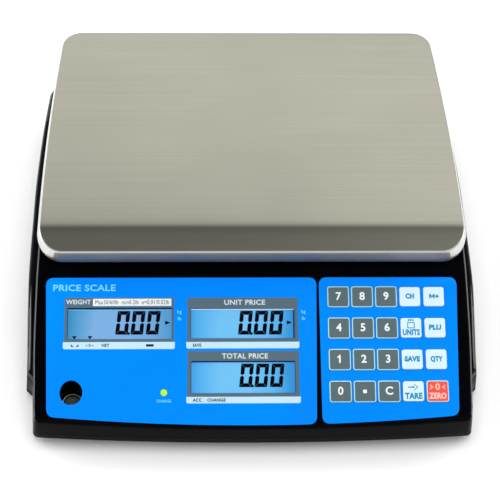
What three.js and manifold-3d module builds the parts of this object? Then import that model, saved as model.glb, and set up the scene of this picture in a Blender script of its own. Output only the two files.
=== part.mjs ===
// Retail price scale. Millimetres, +Z up, the operator stands at -Y.
// The origin is on the floor, midway between front and back.
import * as THREE from 'three';
import { RoundedBoxGeometry } from 'three/addons/geometries/RoundedBoxGeometry.js';
import { mergeVertices } from 'three/addons/utils/BufferGeometryUtils.js';
import Module from 'manifold-3d';

const wasm = await Module();
wasm.setup();

// housing
const REAR_Y = 173.3;
const FRONT_Y = -173.3;
const FRONT_BOW = 5.4;
const BASE_Z = 4;
const SPLIT_Z = 9;
const SPLIT_GAP = 0.2;
const PLATEAU_Z = 82;
const WALL = 2.6;
const SIDE_DRAFT = 0.125;
const SHOULDER_Z = 56;
const SHOULDER_DROP = 12;
const SKIRT_FRONT_Y = -127.5;
const SKIRT_CHAMFER = 5;

// sloped console, measured along the slope (s) from the middle of the key grid
const DECK_ANGLE = THREE.MathUtils.degToRad(24.36);
const DECK_X = -0.6;
const DECK_Y = -116.5;
const DECK_Z = 50;
const OVERLAY_SUNK = 0.6;
const OVERLAY_PROUD = 0.3;
const SEAT_GAP = 0.1;
const PANEL_BOW = 7.3;

// platter
const PLATTER_Z = 100;
const SHEET = 1;
const CREASE_Y = -45.4;
const LIP_ANGLE = THREE.MathUtils.degToRad(28);
const LIP_REACH = 17.1;
const PLATTER_REAR_Y = 172.2;
// rim, from its lower edge up to the flat: depth below the top, distance in from the edge
const RIM = [[11, 0], [8, 0], [6.5, 0.4], [0.7, 3.7], [0.15, 4.3], [0, 5]];

// weighing mechanism
const POSTS_X = 100;
const POSTS_Y = [-16, 124];
const POST_R = 8;
const POST_TOP_Z = 88;
const SPIDER_Z = 58;
const SPIDER_T = 6;
const CELL_Y = 54;
const CELL = { length: 130, width: 30, z0: 16, z1: 38 };
const SCREW_R = 3;

// feet
const FEET = {
  front_left: [-140, -112],
  front_right: [140, -112],
  rear_left: [-135, 140],
  rear_right: [135, 140],
};
const FOOT_R = 14;
const FOOT_POCKET_R = 16.5;

// windows and openings of the console: centre x, s and size
const LCDS = {
  lcd_weight: { x: -98.2, s: 15.7, w: 78, h: 24 },
  lcd_unit_price: { x: -6.9, s: 15.7, w: 77.6, h: 23 },
  lcd_total_price: { x: -6.8, s: -24.6, w: 77.2, h: 24.2 },
};
const LEVEL = { x: -133.2, s: -35.8, r: 8.4 };
const LEVEL_FLOOR = 9.9;
const LAMP = { x: -65.2, s: -35.9, r: 2.6 };

// keypad
const KEY_X = 100.5;
const KEY_PITCH_X = 17.9;
const KEY_PITCH_S = 23.72;
const KEY_GAP = 0.3;
const KEY_PROUD = 0.9;
const KEY_DEEP = 2.2;
const KEY_ROWS = [
  ['key_7', 'key_8', 'key_9', 'key_change', 'key_memory_add'],
  ['key_4', 'key_5', 'key_6', 'key_units', 'key_plu'],
  ['key_1', 'key_2', 'key_3', 'key_save', 'key_quantity'],
  ['key_0', 'key_decimal', 'key_clear', 'key_tare', 'key_zero'],
];
const PLAIN_KEYS = [
  'key_change', 'key_memory_add', 'key_units', 'key_plu', 'key_save', 'key_quantity', 'key_tare',
];

// power
const BATTERY = { x: 70, y: -15, w: 100, d: 70, z0: 7, z1: 54 };
const SWITCH = { x: -118, z: 24 };
const SWITCH_PIVOT_Y = REAR_Y - 4.8;
const INLET = { x: -86, z: 24 };
const FLANGE = 1.2;
const REAR_WINDOW = { z: 54, w: 204, h: 34 };

const material = (color, roughness, metalness, extra = {}) =>
  new THREE.MeshStandardMaterial({ color, roughness, metalness, ...extra });
const MATERIALS = {
  steel: material(0xb8b4a5, 0.3, 1),
  black: material(0x121316, 0.15, 0),
  tray: material(0x1c1d20, 0.5, 0),
  blue: material(0x0090ff, 0.35, 0),
  lcd: material(0x9fd0ee, 0.2, 0),
  greyKey: material(0x69767a, 0.4, 0),
  whiteKey: material(0xf2f6f8, 0.4, 0),
  redKey: material(0xf05f4b, 0.4, 0),
  board: material(0x1f6b3a, 0.5, 0),
  aluminium: material(0xc4c8cc, 0.35, 1),
  cast: material(0x8d9196, 0.5, 0.8),
  rubber: material(0x18181a, 0.85, 0),
  screw: material(0xd0d0d0, 0.25, 1),
  vial: material(0xcfe8b0, 0.05, 0, { transparent: true, opacity: 0.5 }),
  lamp: material(0xc8f04a, 0.3, 0),
  battery: material(0x2f3338, 0.6, 0),
  lens: material(0x1a2230, 0.05, 0, { transparent: true, opacity: 0.4 }),
  socket: material(0x0d0d0e, 0.4, 0),
};

// ---- solids ----

function solid(geometry) {
  const g = geometry.clone();
  g.deleteAttribute('normal');
  g.deleteAttribute('uv');
  const merged = mergeVertices(g, 1e-4);
  return new wasm.Manifold(new wasm.Mesh({
    numProp: 3,
    vertProperties: new Float32Array(merged.attributes.position.array),
    triVerts: new Uint32Array(merged.index.array),
  }));
}

function surface(manifold) {
  const mesh = manifold.getMesh();
  const g = new THREE.BufferGeometry();
  const xyz = new Float32Array(mesh.numVert * 3);
  for (let i = 0; i < mesh.numVert; i += 1) {
    for (let k = 0; k < 3; k += 1) xyz[3 * i + k] = mesh.vertProperties[i * mesh.numProp + k];
  }
  g.setAttribute('position', new THREE.BufferAttribute(xyz, 3));
  g.setIndex(new THREE.BufferAttribute(new Uint32Array(mesh.triVerts), 1));
  return g;
}

const join = (first, ...rest) => rest.reduce((sum, next) => sum.add(next), first);
const cut = (first, ...rest) => rest.reduce((left, next) => left.subtract(next), first);

function box(x0, x1, y0, y1, z0, z1) {
  return solid(new THREE.BoxGeometry(x1 - x0, y1 - y0, z1 - z0)
    .translate((x0 + x1) / 2, (y0 + y1) / 2, (z0 + z1) / 2));
}

function upright(r, z0, z1, x, y, rTop = r, segments = 24) {
  return solid(new THREE.CylinderGeometry(rTop, r, z1 - z0, segments)
    .rotateX(Math.PI / 2).translate(x, y, (z0 + z1) / 2));
}

// Closed solid through rings of equal point count, each ring counter-clockwise seen from above.
function loft(rings) {
  const n = rings[0].length;
  const points = rings.flat();
  const index = [];
  for (let r = 0; r + 1 < rings.length; r += 1) {
    for (let i = 0; i < n; i += 1) {
      const a = r * n + i;
      const b = r * n + ((i + 1) % n);
      index.push(a, b, b + n, a, b + n, a + n);
    }
  }
  const flat = rings[0].map((p) => new THREE.Vector2(p.x, p.y));
  const last = (rings.length - 1) * n;
  for (const [a, b, c] of THREE.ShapeUtils.triangulateShape(flat, [])) {
    index.push(c, b, a, last + a, last + b, last + c);
  }
  const g = new THREE.BufferGeometry();
  g.setAttribute('position', new THREE.Float32BufferAttribute(points.flatMap((p) => [p.x, p.y, p.z]), 3));
  g.setIndex(index);
  return solid(g);
}

// ---- plan outlines ----

// Half of a symmetric plan: side stations [y, half width] from front to back, with rounded corners.
function symmetricOutline(stations, frontY, bow, frontR, rearY, rearR) {
  const [, frontHalf] = stations[0];
  const rearHalf = stations[stations.length - 1][1];
  const half = [];
  const front = 6;
  const bowAt = (x) => frontY + bow * (x / frontHalf) ** 2;
  for (let i = 0; i <= front; i += 1) {
    const x = ((frontHalf - frontR) * i) / front;
    half.push([x, bowAt(x)]);
  }
  const cornerY = bowAt(frontHalf - frontR) + frontR;
  for (let i = 1; i <= 4; i += 1) {
    const t = (i / 4) * (Math.PI / 2);
    half.push([frontHalf - frontR + frontR * Math.sin(t), cornerY - frontR * Math.cos(t)]);
  }
  for (const [y, x] of stations) {
    if (y > cornerY + 0.5 && y < rearY - rearR - 0.5) half.push([x, y]);
  }
  for (let i = 0; i <= 6; i += 1) {
    const t = (i / 6) * (Math.PI / 2);
    half.push([rearHalf - rearR + rearR * Math.cos(t), rearY - rearR + rearR * Math.sin(t)]);
  }
  const mirrored = half.slice(1).reverse().map(([x, y]) => [-x, y]);
  return [...half, ...mirrored];
}

const atHeight = (outline, z) => outline.map(([x, y]) => new THREE.Vector3(x, y, z));
const narrowed = (stations, by) => stations.map(([y, x]) => [y, x - by]);

const CORE_SIDE = [[-168, 164.2], [-140, 166.4], [-118, 168.3], [-88, 169.8], [-58, 170.8], [0, 170.2],
  [60, 168.2], [120, 164.7], [160, 161.2]];
const SKIRT_SIDE = [
  [SKIRT_FRONT_Y, 171.8], [-110, 172.9], [-85, 174.9], [-60, 176.8], [-30, 177.8],
  [0, 178.3], [30, 178.8], [60, 178.5], [100, 177.3], [150, 174.4],
];

function coreOutline(z, inset) {
  return symmetricOutline(narrowed(CORE_SIDE, SIDE_DRAFT * z + inset), FRONT_Y + inset, FRONT_BOW,
    5 - inset / 2, REAR_Y - inset, 22 - inset);
}

function core(z0, z1, inset) {
  return loft([atHeight(coreOutline(z0, inset), z0), atHeight(coreOutline(z1, inset), z1)]);
}

function skirtOutline(z, inset) {
  const side = narrowed(SKIRT_SIDE, SIDE_DRAFT * z + inset);
  const frontHalf = side[0][1] - SKIRT_CHAMFER;
  const frontY = SKIRT_FRONT_Y - SKIRT_CHAMFER + inset;
  const half = [[120 - inset, frontY], [frontHalf, frontY],
    ...side.map(([y, x]) => [x, y === SKIRT_FRONT_Y ? y + inset / 2 : y])];
  const rearR = 24 - inset;
  const rearHalf = side[side.length - 1][1] - 2;
  const rearY = REAR_Y - 3 - inset;
  const straight = half.filter(([, y]) => y < rearY - rearR);
  for (let i = 0; i <= 6; i += 1) {
    const t = (i / 6) * (Math.PI / 2);
    straight.push([rearHalf - rearR + rearR * Math.cos(t), rearY - rearR + rearR * Math.sin(t)]);
  }
  return [...straight, ...[...straight].reverse().map(([x, y]) => [-x, y])];
}

function skirt(z0, z1, inset) {
  const shoulder = skirtOutline(z1 - 5, inset);
  const soft = shoulder.map(([x, y]) => [x - Math.sign(x) * 4, y]);
  return loft([atHeight(skirtOutline(z0, inset), z0), atHeight(shoulder, z1 - 5), atHeight(soft, z1)]);
}

// Everything under a side profile that follows the console slope and then runs level.
function underProfile(drop, topZ) {
  const slope = Math.tan(DECK_ANGLE);
  const deck = (y) => DECK_Z - drop + (y - DECK_Y) * slope;
  const kneeY = DECK_Y + (topZ - DECK_Z + drop) / slope;
  const shape = new THREE.Shape([[-200, -5], [200, -5], [200, topZ], [kneeY, topZ], [-200, deck(-200)]]
    .map(([y, z]) => new THREE.Vector2(y, z)));
  return solid(new THREE.ExtrudeGeometry(shape, { depth: 400, bevelEnabled: false })
    .rotateX(Math.PI / 2).rotateZ(Math.PI / 2).translate(-200, 0, 0));
}

function housing(inset, z0) {
  const drop = inset / Math.cos(DECK_ANGLE);
  const body = core(z0, PLATEAU_Z + 2, inset).intersect(underProfile(drop, PLATEAU_Z - inset));
  const sides = skirt(z0, SHOULDER_Z - inset, inset)
    .intersect(underProfile(SHOULDER_DROP + drop, SHOULDER_Z - inset));
  return body.add(sides);
}

// ---- things laid on the console ----

function onDeck(geometry, x, s, lift) {
  return geometry.rotateX(DECK_ANGLE).translate(
    DECK_X + x,
    DECK_Y + s * Math.cos(DECK_ANGLE) - lift * Math.sin(DECK_ANGLE),
    DECK_Z + s * Math.sin(DECK_ANGLE) + lift * Math.cos(DECK_ANGLE),
  );
}

function roundedRect(w, h, r, cx = 0, cy = 0) {
  const shape = new THREE.Shape();
  shape.absarc(cx + w / 2 - r, cy - h / 2 + r, r, -Math.PI / 2, 0);
  shape.absarc(cx + w / 2 - r, cy + h / 2 - r, r, 0, Math.PI / 2);
  shape.absarc(cx - w / 2 + r, cy + h / 2 - r, r, Math.PI / 2, Math.PI);
  shape.absarc(cx - w / 2 + r, cy - h / 2 + r, r, Math.PI, Math.PI * 1.5);
  return shape;
}

function deckPlate(shape, low, high, x = 0, s = 0, curveSegments = 3) {
  const g = new THREE.ExtrudeGeometry(shape, { depth: high - low, bevelEnabled: false, curveSegments });
  return onDeck(g, x, s, low);
}

const deckBlock = (p, grow, low, high) =>
  solid(deckPlate(roundedRect(p.w + 2 * grow, p.h + 2 * grow, 0.8, 0, 0), low, high, p.x, p.s, 1));

// Rounded corner of an outline, in three short chords.
function turn(shape, from, corner, to) {
  for (const t of [1 / 3, 2 / 3, 1]) {
    const mix = (k) => (1 - t) ** 2 * from[k] + 2 * t * (1 - t) * corner[k] + t ** 2 * to[k];
    shape.lineTo(mix(0), mix(1));
  }
}

// Panel outlines: straight top, sides slightly splayed, bottom edge following the bowed front.
function panelShape(leftX, leftTopX, rightX, rightTopX, grow) {
  const top = 50.6 + grow;
  const bottom = (x) => -60 - grow + PANEL_BOW * (x / 158) ** 2;
  const r = 6;
  const [l, lt, rr, rt] = [leftX - grow, leftTopX - grow, rightX + grow, rightTopX + grow];
  const shape = new THREE.Shape();
  shape.moveTo(l + r, bottom(l + r));
  for (let i = 1; i <= 6; i += 1) {
    const x = l + r + ((rr - l - 2 * r) * i) / 6;
    shape.lineTo(x, bottom(x));
  }
  turn(shape, [rr - r, bottom(rr - r)], [rr, bottom(rr)], [rr, bottom(rr) + r]);
  shape.lineTo(rt, top - r);
  turn(shape, [rt, top - r], [rt, top], [rt - r, top]);
  shape.lineTo(lt + r, top);
  turn(shape, [lt + r, top], [lt, top], [lt, top - r]);
  shape.lineTo(l, bottom(l) + r);
  turn(shape, [l, bottom(l) + r], [l, bottom(l)], [l + r, bottom(l + r)]);
  return shape;
}
const displayShape = (grow) => panelShape(-150.9, -153.6, 46.9, 48.6, grow);
const keypadShape = (grow) => panelShape(50.9, 50.4, 151.6, 154, grow);

function keyPlaces() {
  return KEY_ROWS.flatMap((row, j) => row.map((name, i) => ({
    name,
    x: KEY_X + (i - 2) * KEY_PITCH_X,
    s: (1.5 - j) * KEY_PITCH_S,
    w: PLAIN_KEYS.includes(name) ? 15.4 : 16.4,
    h: PLAIN_KEYS.includes(name) ? 14.8 : 16.1,
  })));
}

// ---- sub-parts ----

function deckHole(place, grow, low, high) {
  const g = new THREE.CylinderGeometry(place.r + grow, place.r + grow, high - low, 20)
    .rotateX(Math.PI / 2).translate(0, 0, (low + high) / 2);
  return solid(onDeck(g, place.x, place.s, 0));
}

const deckPoint = (place) => ({
  x: DECK_X + place.x,
  y: DECK_Y + place.s * Math.cos(DECK_ANGLE),
  z: DECK_Z + place.s * Math.sin(DECK_ANGLE),
});

function topCover() {
  const level = deckPoint(LEVEL);
  let shell = cut(housing(0, SPLIT_Z + SPLIT_GAP), housing(WALL, 0));
  const well = upright(LEVEL.r + 1.6, LEVEL_FLOOR - 1.5, 60, level.x, level.y);
  shell = join(shell, well.intersect(housing(1, 0)));
  const cuts = [
    upright(LEVEL.r, LEVEL_FLOOR, 90, level.x, level.y),
    deckHole(LAMP, 0.2, -12, 2),
    ...Object.values(LCDS).map((lcd) => deckBlock(lcd, 0.4, -12, 2)),
    solid(deckPlate(displayShape(0.3), -OVERLAY_SUNK, 3)),
    solid(deckPlate(keypadShape(0.3), -OVERLAY_SUNK, 3)),
    deckBlock({ x: KEY_X, s: 0, w: 94, h: 93 }, 0, -12, 2),
    box(-REAR_WINDOW.w / 2 + 6, REAR_WINDOW.w / 2 - 6, 160, 180, REAR_WINDOW.z - 11, REAR_WINDOW.z + 11),
    box(-REAR_WINDOW.w / 2, REAR_WINDOW.w / 2, REAR_Y - 1.4, 180, REAR_WINDOW.z - 17, REAR_WINDOW.z + 17),
    box(SWITCH.x - 13, SWITCH.x + 13, 160, 180, SWITCH.z - 8, SWITCH.z + 8),
    box(SWITCH.x - 14.8, SWITCH.x + 14.8, REAR_Y - FLANGE, 180, SWITCH.z - 9.8, SWITCH.z + 9.8),
    box(INLET.x - 7, INLET.x + 7, 160, 180, INLET.z - 7, INLET.z + 7),
    box(INLET.x - 8.8, INLET.x + 8.8, REAR_Y - FLANGE, 180, INLET.z - 8.8, INLET.z + 8.8),
  ];
  for (const x of [-POSTS_X, POSTS_X]) for (const y of POSTS_Y) cuts.push(upright(13, 60, 90, x, y));
  return surface(cut(shell, ...cuts));
}

function baseTray() {
  const band = box(-200, 200, -200, 200, BASE_Z, SPLIT_Z);
  let tray = housing(0, BASE_Z - 1).intersect(band);
  tray = cut(tray, housing(WALL, 0).intersect(box(-200, 200, -200, 200, BASE_Z + 2.5, 30)));
  const walls = [];
  const cuts = [];
  for (const [x, y] of Object.values(FEET)) {
    walls.push(upright(FOOT_POCKET_R + 2, BASE_Z + 1, 14.5, x, y));
    cuts.push(upright(FOOT_POCKET_R, 0, 12, x, y), upright(4.3, 0, 20, x, y, 4.3, 16));
  }
  const b = BATTERY;
  const [bx0, bx1, by0, by1] = [b.x - b.w / 2, b.x + b.w / 2, b.y - b.d / 2, b.y + b.d / 2];
  walls.push(box(bx0 - 3, bx1 + 3, by0 - 3, by1 + 3, BASE_Z + 1, 30));
  cuts.push(box(bx0 - 0.5, bx1 + 0.5, by0 - 0.5, by1 + 0.5, BASE_Z + 2.5, 40));
  cuts.push(box(bx0 + 4, bx1 - 4, by0 + 4, by1 - 4, 0, 20));
  cuts.push(...[-60, -40].map((x) => upright(SCREW_R + 0.1, 0, 20, x, CELL_Y, SCREW_R + 0.1, 12)));
  cuts.push(...[-60, -40].map((x) => upright(6, 0, BASE_Z + 1.2, x, CELL_Y, 6, 12)));
  return surface(cut(join(tray, ...walls), ...cuts));
}

function batteryDoor() {
  const b = BATTERY;
  return surface(cut(
    box(b.x - b.w / 2 + 4.4, b.x + b.w / 2 - 4.4, b.y - b.d / 2 + 4.4, b.y + b.d / 2 - 4.4,
      BASE_Z, BASE_Z + 2.3),
    box(b.x - 12, b.x + 12, b.y - b.d / 2 + 8, b.y - b.d / 2 + 14, 0, BASE_Z + 1.2),
  ));
}

function foot(x, y) {
  const profile = [[0, 0], [11.5, 0], [13, 0.8], [FOOT_R, 2.5], [FOOT_R, 6], [4, 6.5], [4, 22], [0, 22]]
    .map(([r, z]) => new THREE.Vector2(r, z));
  return new THREE.LatheGeometry(profile, 24).rotateX(Math.PI / 2).translate(x, y, 0);
}

function platterOutline(inset) {
  const stations = [];
  const frontY = CREASE_Y - LIP_REACH;
  for (let i = 0; i <= 8; i += 1) {
    const t = i / 8;
    const y = frontY + (PLATTER_REAR_Y - frontY) * t;
    stations.push([y, 160.6 - 5 * t + 12 * t * (1 - t) * 0.9 - inset]);
  }
  const rearY = PLATTER_REAR_Y - inset;
  return symmetricOutline(stations, frontY + inset * 0.1, 0, 22 - inset, rearY, 24 - inset);
}

function platterBlank(thin) {
  const sheet = thin ? SHEET : 0;
  const [, flat] = RIM.at(-1);
  return loft(RIM.map(([depth, inset], i) =>
    atHeight(platterOutline(inset + sheet), PLATTER_Z - depth - sheet * (i === 0 ? 1 : inset / flat))));
}

function platter() {
  const sheet = cut(platterBlank(false), platterBlank(true));
  const rear = sheet.intersect(box(-200, 200, CREASE_Y, 200, 0, 200));
  const front = surface(sheet.intersect(box(-200, 200, -200, CREASE_Y, 0, 200)));
  const fall = Math.tan(LIP_ANGLE) * 1;
  front.applyMatrix4(new THREE.Matrix4().set(
    1, 0, 0, 0,
    0, 1, 0, 0,
    0, fall, 1, -fall * CREASE_Y,
    0, 0, 0, 1,
  ));
  return surface(rear.add(solid(front)));
}

function bar(x0, y0, x1, y1, width, z0, z1) {
  const length = Math.hypot(x1 - x0, y1 - y0);
  return solid(new THREE.BoxGeometry(length, width, z1 - z0)
    .rotateZ(Math.atan2(y1 - y0, x1 - x0))
    .translate((x0 + x1) / 2, (y0 + y1) / 2, (z0 + z1) / 2));
}

function platterSupport() {
  const z0 = SPIDER_Z;
  const z1 = SPIDER_Z + SPIDER_T;
  let frame = box(-70, 70, CELL_Y - 30, CELL_Y + 30, z0, z1);
  for (const x of [-POSTS_X, POSTS_X]) {
    for (const y of POSTS_Y) {
      const fromX = Math.sign(x) * 50;
      const fromY = CELL_Y + Math.sign(y - CELL_Y) * 15;
      frame = join(frame, bar(fromX, fromY, x, y, 22, z0, z1), bar(fromX, fromY, x, y, 4, z0, z1 + 6),
        upright(12, z0, z1 + 2, x, y, 12, 16), upright(POST_R, z0, POST_TOP_Z, x, y, POST_R, 16));
    }
  }
  const screws = [40, 60].map((x) => upright(SCREW_R + 0.1, 0, 90, x, CELL_Y, SCREW_R + 0.1, 12));
  const lightening = [-34, -2].map((x) => box(x - 11, x + 11, CELL_Y - 11, CELL_Y + 11, 0, 90));
  return surface(cut(frame, ...lightening, ...screws));
}

function pad(x, y) {
  const profile = [[0, POST_TOP_Z], [10, POST_TOP_Z], [11, POST_TOP_Z + 1], [11, 96], [9.5, 99], [0, 99]]
    .map(([r, z]) => new THREE.Vector2(r, z));
  return new THREE.LatheGeometry(profile, 16).rotateX(Math.PI / 2).translate(x, y, 0);
}

function drilledBlock(x0, x1, z0, z1, screwsX) {
  return surface(cut(box(x0, x1, CELL_Y - 15, CELL_Y + 15, z0, z1),
    ...screwsX.map((x) => upright(SCREW_R + 0.1, 0, 90, x, CELL_Y, SCREW_R + 0.1, 12))));
}

function loadCell() {
  const half = CELL.length / 2;
  const mid = (CELL.z0 + CELL.z1) / 2;
  const across = (x) => solid(new THREE.CylinderGeometry(7.5, 7.5, 40, 20).translate(x, CELL_Y, mid));
  const holes = [-60, -40, 40, 60].map((x) => upright(SCREW_R + 0.1, 0, 90, x, CELL_Y, SCREW_R + 0.1, 12));
  return surface(cut(box(-half, half, CELL_Y - 15, CELL_Y + 15, CELL.z0, CELL.z1),
    join(across(-11), across(11), box(-11, 11, CELL_Y - 20, CELL_Y + 20, mid - 4, mid + 4)), ...holes));
}

// Cap screw: shank from z0 to z1, the head on top, or under it in a counterbore.
function capScrew(x, z0, z1, headUp) {
  const peg = (r, low, high, segments) => upright(r, low, high, x, CELL_Y, r, segments);
  return surface(headUp
    ? cut(join(peg(SCREW_R, z0, z1 + 1, 12), peg(5, z1, z1 + 4, 16)), peg(2.6, z1 + 2, z1 + 5, 6))
    : cut(join(peg(SCREW_R, z0 - 0.5, z1, 12), peg(5, z0 - 1, z0, 16)), peg(2.6, z0 - 2, z0 - 0.6, 6)));
}

function panelSheet(shape, holes) {
  return surface(cut(solid(deckPlate(shape, SEAT_GAP - OVERLAY_SUNK, OVERLAY_PROUD)), ...holes));
}

function displayOverlay() {
  const level = deckPoint(LEVEL);
  return panelSheet(displayShape(0), [
    ...Object.values(LCDS).map((lcd) => deckBlock(lcd, 0, -2, 2)),
    upright(LEVEL.r, 0, 90, level.x, level.y),
    deckHole(LAMP, 0, -2, 2),
  ]);
}

function keypadOverlay() {
  const shape = keypadShape(0);
  for (const k of keyPlaces()) {
    shape.holes.push(roundedRect(k.w + 2 * KEY_GAP, k.h + 2 * KEY_GAP, 2, k.x, k.s));
  }
  return deckPlate(shape, SEAT_GAP - OVERLAY_SUNK, OVERLAY_PROUD, 0, 0, 1);
}

function key(k) {
  return deckPlate(roundedRect(k.w, k.h, 1.8), -KEY_DEEP, KEY_PROUD, k.x, k.s, 1);
}

function board(x, s, w, h, low) {
  return onDeck(new THREE.BoxGeometry(w, h, 1.6), x, s, low + 0.8);
}

function levelVial() {
  const { x, y } = deckPoint(LEVEL);
  const profile = [[0, 10], [6.6, 10], [7.4, 11], [7.4, 20], [6.2, 21.6], [3.4, 22.6], [0, 23]]
    .map(([r, z]) => new THREE.Vector2(r, z));
  return new THREE.LatheGeometry(profile, 24).rotateX(Math.PI / 2).translate(x, y, 0);
}

function chargeLamp() {
  const profile = [[0, -6], [LAMP.r - 0.2, -6], [LAMP.r - 0.2, 0.2], [1.6, 0.9], [0, 1.1]]
    .map(([r, z]) => new THREE.Vector2(r, z));
  return onDeck(new THREE.LatheGeometry(profile, 16).rotateX(Math.PI / 2), LAMP.x, LAMP.s, 0);
}

function powerSwitch() {
  const shape = new THREE.Shape([[-2, -6], [4.2, -6], [3, 0], [4.2, 6], [-2, 6], [-5, 3], [-5, -3]]
    .map(([u, v]) => new THREE.Vector2(u, v)));
  return new THREE.ExtrudeGeometry(shape, { depth: 18, bevelEnabled: false })
    .rotateX(Math.PI / 2).rotateZ(Math.PI / 2).translate(SWITCH.x - 9, SWITCH_PIVOT_Y, SWITCH.z);
}

function switchBezel() {
  const { x, z } = SWITCH;
  const plate = join(box(x - 14.5, x + 14.5, REAR_Y - FLANGE, REAR_Y, z - 9.5, z + 9.5),
    box(x - 12.6, x + 12.6, REAR_Y - 15, REAR_Y - FLANGE + 0.2, z - 7.6, z + 7.6));
  const well = join(solid(new THREE.CylinderGeometry(7.4, 7.4, 18.8, 20).rotateZ(Math.PI / 2)
    .translate(x, SWITCH_PIVOT_Y, z)), box(x - 9.4, x + 9.4, SWITCH_PIVOT_Y, REAR_Y + 1, z - 7.1, z + 7.1));
  return surface(cut(plate, well));
}

function powerInlet() {
  const { x, z } = INLET;
  const round = (r, y0, y1) => solid(
    new THREE.CylinderGeometry(r, r, y1 - y0, 16).translate(x, (y0 + y1) / 2, z),
  );
  const body = join(box(x - 6.6, x + 6.6, REAR_Y - 14, REAR_Y - FLANGE + 0.2, z - 6.6, z + 6.6),
    box(x - 8.5, x + 8.5, REAR_Y - FLANGE, REAR_Y, z - 8.5, z + 8.5));
  return surface(cut(body, round(4, REAR_Y - 11, REAR_Y + 3)));
}

function rearLens() {
  const w = REAR_WINDOW;
  return new THREE.BoxGeometry(w.w - 0.6, 1.4, w.h - 0.6).translate(0, REAR_Y - 0.7, w.z);
}

function rearLcd() {
  const w = REAR_WINDOW;
  return new RoundedBoxGeometry(w.w - 14, 7, 20, 1, 0.6).translate(0, REAR_Y - 5.1, w.z);
}

// ---- assembly ----

const scale = new THREE.Group();
scale.name = 'retail_price_scale';

function add(name, geometry, look) {
  const mesh = new THREE.Mesh(geometry, MATERIALS[look]);
  mesh.name = name;
  scale.add(mesh);
}

add('platter', platter(), 'steel');
add('platter_support', platterSupport(), 'cast');
for (const [side, x] of [['left', -POSTS_X], ['right', POSTS_X]]) {
  add(`platter_pad_front_${side}`, pad(x, POSTS_Y[0]), 'rubber');
  add(`platter_pad_rear_${side}`, pad(x, POSTS_Y[1]), 'rubber');
}
add('support_spacer', drilledBlock(35, 65, CELL.z1, SPIDER_Z, [40, 60]), 'aluminium');
add('load_cell', loadCell(), 'aluminium');
add('load_cell_base_spacer', drilledBlock(-65, -35, BASE_Z + 2.5, CELL.z0, [-60, -40]), 'aluminium');
for (const [end, x] of [['outer', 60], ['inner', 40]]) {
  add(`support_screw_${end}`, capScrew(x, CELL.z0 + 2, SPIDER_Z + SPIDER_T, true), 'screw');
  add(`base_screw_${end}`, capScrew(-x, BASE_Z + 1.2, CELL.z1 - 2, false), 'screw');
}
add('top_cover', topCover(), 'black');
add('base_tray', baseTray(), 'tray');
for (const [corner, [x, y]] of Object.entries(FEET)) add(`foot_${corner}`, foot(x, y), 'rubber');
add('display_overlay', displayOverlay(), 'blue');
for (const [name, lcd] of Object.entries(LCDS)) {
  add(name, onDeck(new THREE.BoxGeometry(lcd.w - 0.6, lcd.h - 0.6, 6.9), lcd.x, lcd.s, -3.95), 'lcd');
}
add('display_board', board(-39.5, 1, 157, 88, -9.1), 'board');
add('keypad_overlay', keypadOverlay(), 'blue');
for (const place of keyPlaces()) {
  const plain = PLAIN_KEYS.includes(place.name) ? 'whiteKey' : 'greyKey';
  const look = place.name === 'key_zero' ? 'redKey' : plain;
  add(place.name, key(place), look);
}
add('keypad_board', board(KEY_X, 0, 98, 97, -4.9), 'board');
add('level_vial', levelVial(), 'vial');
add('charge_lamp', chargeLamp(), 'lamp');
add('main_board', new THREE.BoxGeometry(100, 66, 1.6).translate(-75, -15, 14), 'board');
add('battery', new RoundedBoxGeometry(BATTERY.w, BATTERY.d, BATTERY.z1 - BATTERY.z0, 1, 2)
  .translate(BATTERY.x, BATTERY.y, (BATTERY.z0 + BATTERY.z1) / 2), 'battery');
add('battery_door', batteryDoor(), 'tray');
add('power_switch', powerSwitch(), 'socket');
add('switch_bezel', switchBezel(), 'socket');
add('power_inlet', powerInlet(), 'socket');
add('rear_lens', rearLens(), 'lens');
add('rear_lcd', rearLcd(), 'lcd');

export default scale;
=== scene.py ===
"""Looks of the retail price scale: steel platter, black housing, printed panels, keys and displays."""

from math import cos, pi, radians, sin, sqrt, tan

import bmesh
import bpy
from mathutils import Matrix, Vector


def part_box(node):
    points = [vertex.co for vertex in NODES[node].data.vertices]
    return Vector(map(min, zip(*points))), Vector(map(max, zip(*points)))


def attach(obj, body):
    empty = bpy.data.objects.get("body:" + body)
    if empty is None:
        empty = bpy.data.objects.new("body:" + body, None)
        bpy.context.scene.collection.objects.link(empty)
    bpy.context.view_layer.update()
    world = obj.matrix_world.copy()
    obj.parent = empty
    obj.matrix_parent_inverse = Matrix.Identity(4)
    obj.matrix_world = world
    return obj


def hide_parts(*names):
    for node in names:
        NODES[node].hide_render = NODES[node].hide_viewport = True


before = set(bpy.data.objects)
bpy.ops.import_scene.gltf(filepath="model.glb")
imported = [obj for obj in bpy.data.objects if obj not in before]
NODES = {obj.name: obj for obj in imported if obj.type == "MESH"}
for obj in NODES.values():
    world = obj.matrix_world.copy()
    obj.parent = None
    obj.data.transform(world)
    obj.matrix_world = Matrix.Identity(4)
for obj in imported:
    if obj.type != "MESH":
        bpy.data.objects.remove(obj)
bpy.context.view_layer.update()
MM = 0.001

# Sizes and places are in millimetres, except for the lights at the end.
# Console plane: u runs to the right, s up the slope and lift out of it.
DECK_ANGLE = radians(24.36)
DECK_X, DECK_Y, DECK_Z = -0.6, -116.5, 50.0

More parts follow.
